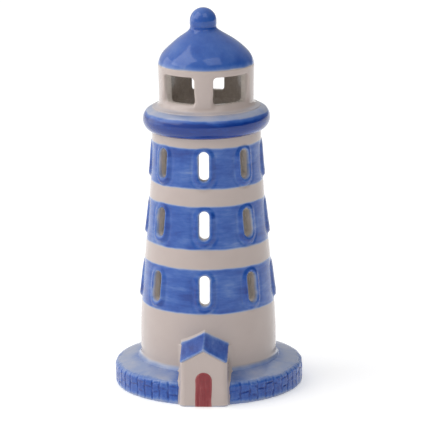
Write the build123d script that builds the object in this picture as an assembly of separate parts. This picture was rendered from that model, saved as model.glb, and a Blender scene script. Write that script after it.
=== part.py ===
"""Ceramic lighthouse tealight house, in millimetres.

+Z is up and the origin is the centre of the base. The porch faces -Y and the candle opening faces +Y.
Azimuths are degrees from the front (-Y), positive towards +X.
"""

import os
from math import cos, radians, sin

from build123d import *

# Plinth
PLINTH_RADIUS = 47.8  # core, without the brick relief
PLINTH_RIM_HEIGHT = 12.0
PLINTH_RISE = 2.8  # from the rim to the tower's foot
PLINTH_EDGE_ROUNDING = 1.2
FOOT_RING_WIDTH = 5.5
UNDERSIDE_DEPTH = 7.0  # of the hollow inside the foot ring, where it meets the ring
FLOOR_THICKNESS = 4.8

# Brick relief on the rim
BRICK_PROUD = 1.6
BRICK_COLUMNS = 60
BRICK_JOINT = 0.7  # width of the grooves between bricks
BRICK_SPLITS = (0.36, 0.66, 0.48, 0.30)  # heights of the bed joints, repeated round the rim
BRICK_BOTTOM_GAP = 0.6

# Tower: its side as the radius lost since the foot and the height above the foot
TOWER_FOOT_RADIUS = 35.6
TOWER_HEIGHT = 121.2
TOWER_TAPER = 7.1
TOWER_KNEE = (0.5, 28.7)  # where the straight foot turns into the taper
TOWER_WAIST = (3.5, 63.6)
TOWER_SHOULDER = (5.7, 89.8)
TOWER_WALL = 4.6

# Window slots and their raised surrounds: each tier's centre above the tower's foot, and height
SLOT_AZIMUTHS = (-90, -45, 0, 45, 90)
SLOT_WIDTH = 5.2
SLOT_TIERS = {"lower": (42.5, 16.0), "middle": (76.4, 15.2), "upper": (107.2, 15.6)}
SURROUND_BORDER = 3.3  # on each side of its slot
SURROUND_PROUD = 1.2

# Tealight, a standard candle
CUP_RADIUS = 19.0
CUP_HEIGHT = 15.5
CUP_WALL = 0.4
CUP_LIP = 0.5
WAX_DEPTH = 12.5
WICK_RADIUS = 0.9
WICK_HEIGHT = 21.0  # above the wax's underside
SUSTAINER_RADIUS = 6.0
SUSTAINER_THICKNESS = 0.4
SUSTAINER_NECK_RADIUS = 1.7
SUSTAINER_NECK_HEIGHT = 3.0

# Candle opening in the back of the tower
CUP_CLEARANCE = 2.5  # on each side of the cup
OPENING_TOP_WIDTH = 26.0
OPENING_SPRINGING = 95.2  # above the tower's foot, where the round arch starts

# Gallery: heights above the tower's top
GALLERY_OVERHANG = 4.7  # beyond the tower's top
GALLERY_WIDEST = 6.2
GALLERY_RIM_OVERHANG = 0.8
GALLERY_RIM = 12.4
GALLERY_HEIGHT = 13.5

# Lantern room: heights above the gallery
LANTERN_FOOT_RADIUS = 24.7
LANTERN_FLARE = 0.5
LANTERN_HEIGHT = 21.3
LANTERN_WALL = 5.0
LANTERN_WINDOW_AZIMUTHS = (-36.0, 36.0, 180.0)  # degrees from the front
LANTERN_WINDOW_ARC = 49.0  # degrees
LANTERN_SILL = 4.1
LANTERN_LINTEL = 17.8
LANTERN_CORNER_ROUNDING = 1.8

# Roof: points on its side as the distance in from the eave and the height above it
ROOF_SHOULDER = (2.2, 5.4)
ROOF_SLOPE = (8.6, 11.7)
ROOF_HIP = (15.0, 16.0)
ROOF_NECK_RADIUS = 7.4
ROOF_HEIGHT = 19.2
ROOF_WALL = 4.8

# Finial
FINIAL_RADIUS = 6.9
FINIAL_HEIGHT = 10.0  # of the ball above its flat seat
FINIAL_OFFSET = -1.2  # the hand-set knob stands a little to the left

# Porch
PORCH_WIDTH = 24.6
PORCH_PROUD = 1.8  # of the brick relief
PORCH_CORNER_ROUNDING = 2.6
PORCH_EAVES = 23.9  # at the front face
PORCH_GABLE = 6.7  # height of the ridge above the eaves
PORCH_ROOF_RISE = 0.32  # the roof climbs this much for each millimetre towards the tower
PORCH_ROOF_THICKNESS = 1.9
DOOR_WIDTH = 8.9
DOOR_HEIGHT = 18.4
DOOR_THICKNESS = 0.8  # set flush into a niche of the same depth

# Levels and sizes that follow from the others
TOWER_FOOT = PLINTH_RIM_HEIGHT + PLINTH_RISE
TOWER_TOP = TOWER_FOOT + TOWER_HEIGHT
TOWER_TOP_RADIUS = TOWER_FOOT_RADIUS - TOWER_TAPER
FLOOR_RADIUS = TOWER_FOOT_RADIUS - TOWER_WALL
SLOT_CENTRES = {tier: TOWER_FOOT + centre for tier, (centre, _) in SLOT_TIERS.items()}
SLOT_HEIGHTS = {tier: height for tier, (_, height) in SLOT_TIERS.items()}
DECK = TOWER_TOP + GALLERY_HEIGHT
EAVE = DECK + LANTERN_HEIGHT
EAVE_RADIUS = LANTERN_FOOT_RADIUS + LANTERN_FLARE
ROOF_TOP = EAVE + ROOF_HEIGHT
PORCH_FRONT = PLINTH_RADIUS + BRICK_PROUD + PORCH_PROUD
CUP_INSIDE_RADIUS = CUP_RADIUS - CUP_LIP - CUP_WALL
CUP_FLOOR = TOWER_FOOT + CUP_WALL

FAR = 200.0  # longer than any cut has to be


def ring_round(outer, inner):
    """A solid of revolution from an outer and an inner outline, both running upwards."""
    foot = Line(inner @ 0, outer @ 0)
    top = Line(outer @ 1, inner @ 1)
    face = make_face(Curve() + [foot, outer, top, inner])
    return revolve(face, Axis.Z)


def upright_cylinder(radius, height, bottom):
    """A cylinder on the axis, standing on a level."""
    return Pos(0, 0, bottom) * Cylinder(radius, height, align=(Align.CENTER, Align.CENTER, Align.MIN))


def tower_outline(offset):
    """The tower's side at a distance from its outside: straight foot, taper, nearly straight top."""
    stations = [(0, 0), TOWER_KNEE, TOWER_WAIST, TOWER_SHOULDER, (TOWER_TAPER, TOWER_HEIGHT)]
    return Spline(*[(TOWER_FOOT_RADIUS + offset - lost, 0, TOWER_FOOT + rise) for lost, rise in stations])


def tower_core(offset):
    """Everything inside the tower's side at the given offset, as one solid."""
    axis = Line((0, 0, TOWER_FOOT), (0, 0, TOWER_TOP))
    return ring_round(tower_outline(offset), axis)


def facing(azimuth):
    """Turns a shape made at the front to an azimuth."""
    return Rot(0, 0, azimuth)


def slot_cutter(tier, border):
    """An upright stadium, larger than the slot by a border, pushed from the axis through the front wall."""
    outline = SlotOverall(SLOT_HEIGHTS[tier] + 2 * border, SLOT_WIDTH + 2 * border, rotation=90)
    return extrude(Plane.XZ * Pos(0, SLOT_CENTRES[tier]) * outline, FAR)


def plinth_envelope():
    """The outside of the base: a rim and a top that rises to the tower's foot."""
    section = Polyline(
        (0, 0, 0),
        (PLINTH_RADIUS, 0, 0),
        (PLINTH_RADIUS, 0, PLINTH_RIM_HEIGHT),
        (TOWER_FOOT_RADIUS, 0, TOWER_FOOT),
        (0, 0, TOWER_FOOT),
        close=True,
    )
    disc = revolve(make_face(section), Axis.Z)
    rims = disc.edges().filter_by(GeomType.CIRCLE).group_by(SortBy.RADIUS)[-1]
    return fillet(rims, PLINTH_EDGE_ROUNDING)


def foot_ring_envelope():
    """The ring that the base stands on, filled in, with the hollow of the underside left out."""
    outside = upright_cylinder(PLINTH_RADIUS + BRICK_PROUD, UNDERSIDE_DEPTH, 0)
    return outside - upright_cylinder(PLINTH_RADIUS - FOOT_RING_WIDTH, UNDERSIDE_DEPTH, 0)


def make_foot_ring():
    """The lower part of the rim, a plain ring under the plinth."""
    return plinth_envelope() & foot_ring_envelope()


def make_plinth():
    """Round base on the foot ring, domed underneath, with a round seat for the floor plate."""
    hollow = Polyline(
        (0, 0, 0),
        (PLINTH_RADIUS - FOOT_RING_WIDTH, 0, 0),
        (PLINTH_RADIUS - FOOT_RING_WIDTH, 0, UNDERSIDE_DEPTH),
        (FLOOR_RADIUS, 0, TOWER_FOOT - FLOOR_THICKNESS),
        (FLOOR_RADIUS, 0, TOWER_FOOT),
        (0, 0, TOWER_FOOT),
        close=True,
    )
    return plinth_envelope() - foot_ring_envelope() - revolve(make_face(hollow), Axis.Z)


def make_floor_plate():
    """The floor that the candle stands on, flush with the top of the plinth."""
    return upright_cylinder(FLOOR_RADIUS, FLOOR_THICKNESS, TOWER_FOOT - FLOOR_THICKNESS)


def make_rim_bricks():
    """Brick relief round the rim, left out where the porch stands."""
    pitch = 360 / BRICK_COLUMNS
    joint_arc = BRICK_JOINT / radians(PLINTH_RADIUS)
    half_porch = PORCH_WIDTH / 2
    floor = PLINTH_EDGE_ROUNDING + BRICK_BOTTOM_GAP
    ceiling = PLINTH_RIM_HEIGHT - PLINTH_EDGE_ROUNDING
    bricks = []
    for column in range(BRICK_COLUMNS):
        middle = (column + 0.5) * pitch
        edge_x = abs(PLINTH_RADIUS * sin(radians(middle))) - PLINTH_RADIUS * radians(pitch) / 2
        if cos(radians(middle)) > 0 and edge_x < half_porch:
            continue
        split = floor + BRICK_SPLITS[column % len(BRICK_SPLITS)] * (ceiling - floor)
        for low, high in ((floor, split - BRICK_JOINT / 2), (split + BRICK_JOINT / 2, ceiling)):
            section = Polyline(
                (PLINTH_RADIUS, 0, low),
                (PLINTH_RADIUS + BRICK_PROUD, 0, low),
                (PLINTH_RADIUS + BRICK_PROUD, 0, high),
                (PLINTH_RADIUS, 0, high),
                close=True,
            )
            brick = revolve(make_face(section), Axis.Z, pitch - joint_arc)
            start = middle - (pitch - joint_arc) / 2
            bricks.append(Rot(0, 0, start - 90) * brick)
    return Compound(bricks)


def candle_opening():
    """A tall opening in the back, widest at the floor and closed by a round arch."""
    half_foot = CUP_RADIUS + CUP_CLEARANCE
    half_top = OPENING_TOP_WIDTH / 2
    springing = TOWER_FOOT + OPENING_SPRINGING
    outline = Polyline(
        (-half_top, springing),
        (-half_foot, TOWER_FOOT),
        (half_foot, TOWER_FOOT),
        (half_top, springing),
    )
    arch = ThreePointArc(outline @ 1, (0, springing + half_top), outline @ 0)
    return extrude(Plane.XZ * make_face(Curve() + [outline, arch]), -FAR)


def make_tower_shell():
    """Hollow tower with its slot windows and the candle opening."""
    shell = ring_round(tower_outline(0), tower_outline(-TOWER_WALL))
    for tier in SLOT_TIERS:
        for azimuth in SLOT_AZIMUTHS:
            shell -= facing(azimuth) * slot_cutter(tier, 0)
    return shell - candle_opening()


def make_surround(tier, azimuth):
    """A raised oval round one slot, following the tower's side."""
    band = tower_core(SURROUND_PROUD) & slot_cutter(tier, SURROUND_BORDER)
    return facing(azimuth) * (band - slot_cutter(tier, 0) - tower_core(0))


def make_gallery_ring():
    """Rounded ring that closes the tower and carries the lantern room."""
    bulge = ThreePointArc(
        (TOWER_TOP_RADIUS, 0, TOWER_TOP),
        (TOWER_TOP_RADIUS + GALLERY_OVERHANG, 0, TOWER_TOP + GALLERY_WIDEST),
        (TOWER_TOP_RADIUS + GALLERY_RIM_OVERHANG, 0, TOWER_TOP + GALLERY_RIM),
    )
    deck = Line(bulge @ 1, (LANTERN_FOOT_RADIUS, 0, DECK))
    landing = Line(deck @ 1, (LANTERN_FOOT_RADIUS - LANTERN_WALL, 0, DECK))
    throat = Line(landing @ 1, (TOWER_TOP_RADIUS - TOWER_WALL, 0, TOWER_TOP))
    seat = Line(throat @ 1, bulge @ 0)
    return revolve(make_face(Curve() + [bulge, deck, landing, throat, seat]), Axis.Z)


def lantern_window():
    """Cutter for the front window: a sector with rounded corners."""
    inside = LANTERN_FOOT_RADIUS / 3
    section = Polyline(
        (inside, 0, DECK + LANTERN_SILL),
        (FAR, 0, DECK + LANTERN_SILL),
        (FAR, 0, DECK + LANTERN_LINTEL),
        (inside, 0, DECK + LANTERN_LINTEL),
        close=True,
    )
    sector = revolve(make_face(section), Axis.Z, LANTERN_WINDOW_ARC)
    corners = sector.edges().filter_by(GeomType.LINE).filter_by(Axis.Z, reverse=True)
    sector = fillet(corners, LANTERN_CORNER_ROUNDING)
    return Rot(0, 0, -90 - LANTERN_WINDOW_ARC / 2) * sector


def make_lantern_room():
    """Round wall with two windows at the front, a pillar between them and one window at the back."""
    outer = Line((LANTERN_FOOT_RADIUS, 0, DECK), (EAVE_RADIUS, 0, EAVE))
    inner = Line((LANTERN_FOOT_RADIUS - LANTERN_WALL, 0, DECK), (EAVE_RADIUS - LANTERN_WALL, 0, EAVE))
    wall = ring_round(outer, inner)
    for azimuth in LANTERN_WINDOW_AZIMUTHS:
        wall -= facing(azimuth) * lantern_window()
    return wall


def make_roof_dome():
    """Domed roof, open underneath into the lantern room, with a flat seat for the finial."""
    up = (0, 0, 1)
    stations = (ROOF_SHOULDER, ROOF_SLOPE, ROOF_HIP)
    curve = [(EAVE_RADIUS - inward, 0, EAVE + rise) for inward, rise in stations]
    side = Spline((EAVE_RADIUS, 0, EAVE), *curve, (ROOF_NECK_RADIUS, 0, ROOF_TOP), tangents=[up, up])
    seat = Line(side @ 1, (0, 0, ROOF_TOP))
    crown = Line(seat @ 1, (0, 0, EAVE + ROOF_HIP[1] - ROOF_WALL))
    ceiling = Spline(
        crown @ 1,
        (EAVE_RADIUS - ROOF_SLOPE[0] - ROOF_WALL / 2, 0, EAVE + ROOF_SLOPE[1] - ROOF_WALL),
        (EAVE_RADIUS - ROOF_WALL, 0, EAVE),
        tangents=[(1, 0, 0), (0, 0, -1)],
    )
    eave = Line(ceiling @ 1, side @ 0)
    return revolve(make_face([side, seat, crown, ceiling, eave]), Axis.Z)


def make_finial():
    """Round knob, a ball cut flat where it sits on the roof."""
    ball = Pos(0, 0, ROOF_TOP + FINIAL_HEIGHT - FINIAL_RADIUS) * Sphere(FINIAL_RADIUS)
    below = Pos(0, 0, ROOF_TOP) * Box(FAR, FAR, FAR, align=(Align.CENTER, Align.CENTER, Align.MAX))
    return Pos(FINIAL_OFFSET, 0, 0) * (ball - below)


def gabled_block(lowering):
    """The porch's outside with its roof faces lowered by a distance, from the front back to the axis."""
    half = PORCH_WIDTH / 2
    eaves = PORCH_EAVES - lowering
    outline = Polyline(
        (-half, -FAR),
        (half, -FAR),
        (half, eaves),
        (0, eaves + PORCH_GABLE),
        (-half, eaves),
        close=True,
    )
    front = Plane.XZ * make_face(outline)
    block = Pos(0, -PORCH_FRONT, 0) * extrude(front, PORCH_FRONT, dir=(0, 1, PORCH_ROOF_RISE))
    corners = block.edges().filter_by(Axis.Z).group_by(Axis.Y)[0]
    block = fillet(corners, PORCH_CORNER_ROUNDING)
    above_ground = Box(FAR, FAR, FAR, align=(Align.CENTER, Align.CENTER, Align.MIN))
    return (block & above_ground) - plinth_envelope() - tower_core(0)


def door_block():
    """An upright arched door, as thick as its niche is deep, flush with the porch's front."""
    radius = DOOR_WIDTH / 2
    springing = DOOR_HEIGHT - radius
    frame = Polyline((radius, springing), (radius, 0), (-radius, 0), (-radius, springing))
    arch = ThreePointArc(frame @ 1, (0, DOOR_HEIGHT), frame @ 0)
    leaf = extrude(Plane.XZ * make_face(Curve() + [frame, arch]), -DOOR_THICKNESS)
    return Pos(0, -PORCH_FRONT, 0) * leaf


def make_porch_walls():
    """White body of the porch with the door's niche."""
    return gabled_block(PORCH_ROOF_THICKNESS) - door_block()


def make_porch_roof():
    """Two slopes of even thickness that run down and forward from the tower."""
    return gabled_block(0) - gabled_block(PORCH_ROOF_THICKNESS)


def make_tealight_cup():
    """Pressed aluminium cup with a small outward lip."""
    outside = CUP_RADIUS - CUP_LIP
    section = Polyline(
        (0, 0, 0),
        (outside, 0, 0),
        (outside, 0, CUP_HEIGHT - CUP_WALL),
        (CUP_RADIUS, 0, CUP_HEIGHT - CUP_WALL),
        (CUP_RADIUS, 0, CUP_HEIGHT),
        (CUP_INSIDE_RADIUS, 0, CUP_HEIGHT),
        (CUP_INSIDE_RADIUS, 0, CUP_WALL),
        (0, 0, CUP_WALL),
        close=True,
    )
    return Pos(0, 0, TOWER_FOOT) * revolve(make_face(section), Axis.Z)


def make_tealight_wick():
    """Waxed cotton wick, from the sustainer's plate to above the wax."""
    bottom = CUP_FLOOR + SUSTAINER_THICKNESS
    return upright_cylinder(WICK_RADIUS, WICK_HEIGHT - SUSTAINER_THICKNESS, bottom)


def make_wick_sustainer():
    """Tinned plate with a neck crimped round the wick."""
    plate = upright_cylinder(SUSTAINER_RADIUS, SUSTAINER_THICKNESS, CUP_FLOOR)
    neck = upright_cylinder(SUSTAINER_NECK_RADIUS, SUSTAINER_NECK_HEIGHT, CUP_FLOOR)
    return plate + neck - make_tealight_wick()


def make_tealight_wax():
    """Wax filling, cast round the wick and its sustainer."""
    filling = upright_cylinder(CUP_INSIDE_RADIUS, WAX_DEPTH, CUP_FLOOR)
    return filling - make_tealight_wick() - make_wick_sustainer()


def parts():
    """Every sub-part by name."""
    made = {
        "foot_ring": make_foot_ring(),
        "plinth": make_plinth(),
        "floor_plate": make_floor_plate(),
        "rim_bricks": make_rim_bricks(),
        "tower_shell": make_tower_shell(),
        "gallery_ring": make_gallery_ring(),
        "lantern_room": make_lantern_room(),
        "roof_dome": make_roof_dome(),
        "finial": make_finial(),
        "porch_walls": make_porch_walls(),
        "porch_roof": make_porch_roof(),
        "door_panel": door_block(),
        "tealight_cup": make_tealight_cup(),
        "tealight_wax": make_tealight_wax(),
        "tealight_wick": make_tealight_wick(),
        "wick_sustainer": make_wick_sustainer(),
    }
    for tier in SLOT_TIERS:
        for number, azimuth in enumerate(SLOT_AZIMUTHS, start=1):
            made[f"{tier}_surround_{number}"] = make_surround(tier, azimuth)
    return made


os.makedirs("parts", exist_ok=True)
for name, shape in parts().items():
    export_step(shape, f"parts/{name}.step")
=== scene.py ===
"""Glazed ceramic lighthouse with a tealight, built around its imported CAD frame.

The ceramic is worked out in millimetres as smooth distance fields, meshed, and brought to
metres at the end. A field is negative inside the clay. Azimuths run from the front (-Y)
towards +X.
"""

import itertools
from math import atan, cos, pi, radians, sin

import bpy
import numpy as np
from mathutils import Matrix, Vector


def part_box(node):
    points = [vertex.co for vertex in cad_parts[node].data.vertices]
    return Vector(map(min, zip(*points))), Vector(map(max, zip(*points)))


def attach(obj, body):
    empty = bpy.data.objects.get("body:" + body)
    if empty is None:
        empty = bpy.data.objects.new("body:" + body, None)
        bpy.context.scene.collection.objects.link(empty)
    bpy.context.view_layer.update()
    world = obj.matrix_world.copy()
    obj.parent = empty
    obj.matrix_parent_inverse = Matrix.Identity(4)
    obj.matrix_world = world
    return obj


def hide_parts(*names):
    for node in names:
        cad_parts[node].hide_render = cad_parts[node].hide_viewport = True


MM = 0.001
FAR = 99.0  # millimetres from something that isn't there

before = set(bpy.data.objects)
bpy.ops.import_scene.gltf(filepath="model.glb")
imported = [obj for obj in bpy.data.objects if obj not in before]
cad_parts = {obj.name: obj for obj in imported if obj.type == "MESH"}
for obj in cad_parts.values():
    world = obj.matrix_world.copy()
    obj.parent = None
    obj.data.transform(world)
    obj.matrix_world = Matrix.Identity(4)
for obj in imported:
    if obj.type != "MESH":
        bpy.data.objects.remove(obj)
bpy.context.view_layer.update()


def level(node, corner, axis=2):
    """One coordinate of a CAD node's box in millimetres; corner 0 is the lowest, 1 the highest."""
    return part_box(node)[corner][axis] / MM


# Levels and radii that the frame gives
PLINTH_RADIUS = level("plinth", 1, 0)
TOWER_FOOT = level("plinth", 1)
TOWER_TOP = level("gallery_ring", 0)
DECK = level("gallery_ring", 1)
EAVE = level("lantern_room", 1)
EAVE_RADIUS = level("roof_dome", 1, 0)
ROOF_TOP = level("roof_dome", 1)
FINIAL_TOP = level("finial", 1)
PORCH_HALF = level("porch_walls", 1, 0)
PORCH_FRONT = level("porch_walls", 0, 1)
DOOR_HALF = level("door_panel", 1, 0)
DOOR_TOP = level("door_panel", 1)
RIM_RADIUS = level("rim_bricks", 1, 0)
FLOOR_UNDERSIDE = level("floor_plate", 0)
FLOOR_RADIUS = level("floor_plate", 1, 0)
FOOT_RING_TOP = level("foot_ring", 1)
FLOOR_TOP = level("floor_plate", 1)
FINIAL_X = (level("finial", 0, 0) + level("finial", 1, 0)) / 2
CUP_RADIUS = level("tealight_cup", 1, 0)
CUP_FOOT = level("tealight_cup", 0)
CUP_TOP = level("tealight_cup", 1)
WAX_TOP = level("tealight_wax", 1)
WICK_TOP = level("tealight_wick", 1)

# Tower: radii at heights above its foot
TOWER_STATIONS = ((0, 35.6), (28.7, 35.1), (63.6, 32.1), (89.8, 29.9), (121.2, 28.5))
TOWER_FOOT_RADIUS = TOWER_STATIONS[0][1]
TOWER_CURVE = np.polyfit(*np.array(TOWER_STATIONS).T, len(TOWER_STATIONS) - 1)
TOWER_WALL = 4.6
TOWER_FILLET = 3.0  # where it stands on the plinth
BANDS = ((45.0, 68.2), (78.4, 100.8), (110.1, 131.0))  # heights of the painted bands

# Plinth
RIM_HEIGHT = 12.0
FOOT_RING_WIDTH = 5.5
SEAM_RADIUS = PLINTH_RADIUS - 0.6  # between its top and the bricks of its rim

# Bricks of the plinth's rim
BRICK_COLUMNS = 58
BRICK_JOINT = 0.85
BRICK_DEPTH = 0.5
BRICK_BEDS = ((6.6, FAR), (4.0, 8.6))  # heights of the bed joints in alternate columns

# Window slots and the raised surrounds round them
SLOT_WIDTH = 5.2
SLOT_AZIMUTHS = tuple(radians(a) for a in (-90, -47.3, 0, 45, 90))  # one is a little off its place
SLOT_TIERS = {
    tier: [level(f"{tier}_surround_3", corner) for corner in (0, 1)]
    for tier in ("lower", "middle", "upper")
}
SURROUND_BORDER = 3.0
SURROUND_DROP = 1.0  # of its middle below the slot's
SURROUND_PROUD = 0.4  # at its top
SURROUND_GAIN = 0.032  # more of it per millimetre down, for its face is upright
SURROUND_GROOVE = 0.24  # depth of the line round it

# Candle opening
OPENING_HALF_FOOT = 21.5
OPENING_HALF_TOP = 13.0
OPENING_SPRINGING = TOWER_FOOT + 95.2

# Gallery
GALLERY_CORE = (26.56, 142.2)  # radius and height of the middle of its round rim
GALLERY_THICKNESS = 6.64
GALLERY_TILT = 0.009  # rise per millimetre to the right
DECK_FALL = 0.21  # of its top, per millimetre outwards
THROAT_RADII = (23.9, 19.1)

# Lantern room
LANTERN_FOOT_RADIUS = 24.7
LANTERN_WALL = 5.0
LANTERN_FILLET = 2.6  # where it stands on the gallery
LANTERN_SEED = 5  # of its slow waves, which the roof shares
LANTERN_WINDOWS = ((-35.0, 23.5), (38.2, 26.3), (180.0, 24.5))  # azimuth and half width, degrees
LANTERN_SILL = 152.9
LANTERN_LINTEL = 167.3

# Roof, as (radius, height), and the knob on it
ROOF_OUTSIDE = ((25.2, 170.8), (22.9, 176.2), (16.2, 182.5), (9.8, 186.8), (4.5, 190.35))
ROOF_INSIDE = ((0.0, 182.0), (8.0, 181.2), (13.8, 177.7), (18.2, 174.0), (20.0, 170.8))
ROOF_SLOPE = 0.67
ROOF_LEAN = (180.5, 188.0)  # heights between which it comes over to its knob
FINIAL_RADIUS = 7.0
COLLAR_TOP = 190.4
NECK_TOP = 189.8  # where it starts to flare
NECK_REACH = 12.0

# Porch
PORCH_EAVES = 23.9
PORCH_GABLE = 6.7
PORCH_BACK = -30.0
PORCH_FILLET = 3.2  # where it meets the tower
PORCH_ROOF_RISE = 0.32
PORCH_ROOF_THICKNESS = 1.3

# Tealight
CUP_WALL = 0.4
CUP_DIMPLE = 0.35  # of the middle of its bottom
CUP_FLUTES = 48

# Joints between pieces: a piece runs this far into its neighbour, and follows the neighbour's
# surface a little lower
BURIED = 0.9
TUCK = 0.12

# Paint: how far inside its edge, in millimetres, and how much thin wash
NO_PAINT = -9.0
ALL_PAINT = 9.0
GALLERY_PAINT_TOP = 146.4
WASH_AT_TOWER_FOOT = 0.42
WASH_ON_PLINTH = 0.3
WASH_ON_DECK = 0.26

# Meshing: grid steps in millimetres
STEP = 0.86
GALLERY_STEP = 0.62
LANTERN_STEP = 0.5
PORCH_STEP = 0.45
BRICK_STEP = 0.42
KNOB_STEP = 0.4
CANOPY_STEP = 0.35
DOOR_STEP = 0.25
RADIAL_STEP = 0.8  # of a round grid's step, along the radius
ROUND_TURNS = 288  # points round the roof and the cup
SLOPE_REACH = 0.04  # to each side, where a field's slope is taken
SETTLING_ROUNDS = 3  # of moving the points onto the surface
EVENING_ROUNDS = 6  # of smoothing how it bends


# ------------------------ fields

def soft_min(a, b, k):
    """The lower of two fields, blended over a width k."""
    h = np.clip(0.5 + 0.5 * (b - a) / k, 0, 1)
    return b + (a - b) * h - k * h * (1 - h)


def soft_max(a, b, k):
    """The higher of two fields, blended over a width k."""
    return -soft_min(-a, -b, k)


def ramp(low, high, value):
    """0 at low, 1 at high, with a smooth start and end; low may be the larger."""
    t = np.clip((value - low) / (high - low), 0, 1)
    return t * t * (3 - 2 * t)


def unevenness(x, y, z, size, seed):
    """Slow waves of about the given height, as hands leave them in clay."""
    draw = np.random.default_rng(seed)
    total = 0
    for _ in range(6):
        direction = draw.normal(size=3) / draw.uniform(9, 22)
        along = direction[0] * x + direction[1] * y + direction[2] * z
        total = total + np.sin(along + draw.uniform(0, 2 * pi))
    return size * total / 3


def tower_radius(z):
    """Outside radius of the plain tower."""
    rise = np.clip(z - TOWER_FOOT, -2, TOWER_STATIONS[-1][0] + 2)
    return np.polyval(TOWER_CURVE, rise)


def tower_side(x, y, z):
    """The tower's outside with nothing on it."""
    return np.hypot(x, y) - tower_radius(z) - unevenness(x, y, z, 0.16, 3)


def plinth_top(r):
    """Height of the plinth's top at a radius."""
    fall = (TOWER_FOOT - RIM_HEIGHT) / (PLINTH_RADIUS - TOWER_FOOT_RADIUS)
    return TOWER_FOOT - fall * np.clip(r - TOWER_FOOT_RADIUS, 0, None)


def stadium(across, up, half_height, half_width):
    """Distance in the plane from an upright stadium's edge."""
    return np.hypot(across, np.clip(np.abs(up) - (half_height - half_width), 0, None)) - half_width


def box_distance(a, b, rounding):
    """Distance in the plane from the edge of a rectangle with round corners.

    a and b are the distances to its sides.
    """
    a = a + rounding
    b = b + rounding
    outside = np.hypot(np.clip(a, 0, None), np.clip(b, 0, None))
    return outside + np.minimum(np.maximum(a, b), 0) - rounding


def beside_slot(x, y):
    """Distance along the wall from the nearest column of slots."""
    azimuth = np.arctan2(x, -y)
    turns = np.array([azimuth - column for column in SLOT_AZIMUTHS])
    nearest = np.take_along_axis(turns, np.abs(turns).argmin(axis=0)[None], axis=0)[0]
    return np.where(np.cos(nearest) > 0, np.hypot(x, y) * np.sin(nearest), FAR)


def slot_distance(x, y, z):
    """Distance from the nearest window slot's edge, seen square on."""
    across = beside_slot(x, y)
    nearest = np.full(np.shape(x), FAR)
    for bottom, top in SLOT_TIERS.values():
        half_height = (top - bottom) / 2 - SURROUND_BORDER - 0.5
        distance = stadium(across, z - (top + bottom) / 2 + 0.2, half_height, SLOT_WIDTH / 2)
        nearest = np.minimum(nearest, distance)
    return nearest


def oval_distance(x, y, z):
    """Distance from the nearest surround's outer edge, and how far below its top a place is."""
    across = beside_slot(x, y)
    nearest = np.full(np.shape(x), FAR)
    below_top = np.zeros(np.shape(x))
    for bottom, top in SLOT_TIERS.values():
        up = z - ((top + bottom) / 2 - SURROUND_DROP)
        distance = stadium(across, up, (top - bottom) / 2 - 0.7, SLOT_WIDTH / 2 + SURROUND_BORDER)
        below_top = np.where(distance < nearest, top - z, below_top)
        nearest = np.minimum(nearest, distance)
    return nearest, below_top


def opening_distance(x, y, z):
    """Distance from the candle opening's edge, which is only in the back."""
    share = np.clip((z - TOWER_FOOT) / (OPENING_SPRINGING - TOWER_FOOT), 0, 1)
    half = OPENING_HALF_FOOT + (OPENING_HALF_TOP - OPENING_HALF_FOOT) * share
    straight = np.abs(x) - half
    arch = np.hypot(x, z - OPENING_SPRINGING) - OPENING_HALF_TOP
    return np.where(y > 0, np.where(z > OPENING_SPRINGING, arch, straight), FAR)


def tower_field(x, y, z):
    """Tower with raised surrounds, slots, the candle opening and a soft foot."""
    r = np.hypot(x, y)
    slot = slot_distance(x, y, z)
    oval, below_top = oval_distance(x, y, z)
    proud = SURROUND_PROUD + SURROUND_GAIN * np.clip(below_top, 0, 25)
    groove = SURROUND_GROOVE * np.exp(-(((oval - 0.6) / 0.75) ** 2))
    groove = groove * (0.4 + 0.6 * ramp(2.0, 7.0, below_top))
    swell = (proud + 0.15) * ramp(0.4, -1.9, oval) - groove
    side = tower_side(x, y, z)
    inside = -(side + TOWER_WALL)
    clay = soft_max(side - swell, inside, 0.8)
    clay = soft_max(clay, -slot, 0.4 + 1.1 * ramp(-2.6, -0.6, side))
    clay = soft_max(clay, -opening_distance(x, y, z), 1.8)
    base = z - plinth_top(r)
    clay = soft_min(clay, base + TUCK, TOWER_FILLET)
    clay = np.maximum(clay, -base - BURIED)
    clay = soft_max(clay, inside, 0.8)
    clay = np.maximum(clay, r - TOWER_FOOT_RADIUS - TOWER_FILLET - 1)
    return np.maximum(clay, z - TOWER_TOP - BURIED)


def brick_relief(x, y, z):
    """How far the rim stands in, mostly at the joints between its bricks.

    They run in staggered upright columns. The sines with odd factors give each brick a size,
    a lean and a lump of its own.
    """
    azimuth = np.arctan2(x, -y)
    pitch = 2 * pi / BRICK_COLUMNS
    drift = 0.35 * np.sin(azimuth * 7 + 1.0) + 0.25 * np.sin(azimuth * 17 + 2.0)
    place = azimuth / pitch + 0.5 + 0.12 * np.sin(azimuth * 11)
    place = place + 0.04 * np.sin(z * 0.9 + azimuth * 23)
    column = np.floor(place)
    off_middle = place - column - 0.5
    upright = (0.5 - np.abs(off_middle)) * pitch * RIM_RADIUS
    uneven = 1.1 * np.sin(column * 12.9898 + 0.7) + drift
    up = z + uneven + 1.3 * np.sin(column * 4.1) * off_middle
    second = np.mod(column, 2) > 0.5
    beds = [np.where(second, b, a) for a, b in zip(*BRICK_BEDS)]
    level_joint = np.min([np.abs(up - bed) for bed in beds], axis=0)
    row = np.sum([up > bed for bed in beds], axis=0)
    joint = soft_min(upright, level_joint + 0.22, 0.35)
    cut = BRICK_DEPTH * ramp(BRICK_JOINT, 0.0, joint) * (0.75 + 0.25 * np.sin(column * 5.3 + z))
    lean = 0.26 * np.sin(column * 78.233) * off_middle
    lump = 0.13 * np.sin(column * 37.7 + row * 11.3) + 0.05 * np.sin(z * 1.1 + column * 9)
    return cut + lean + lump


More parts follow.
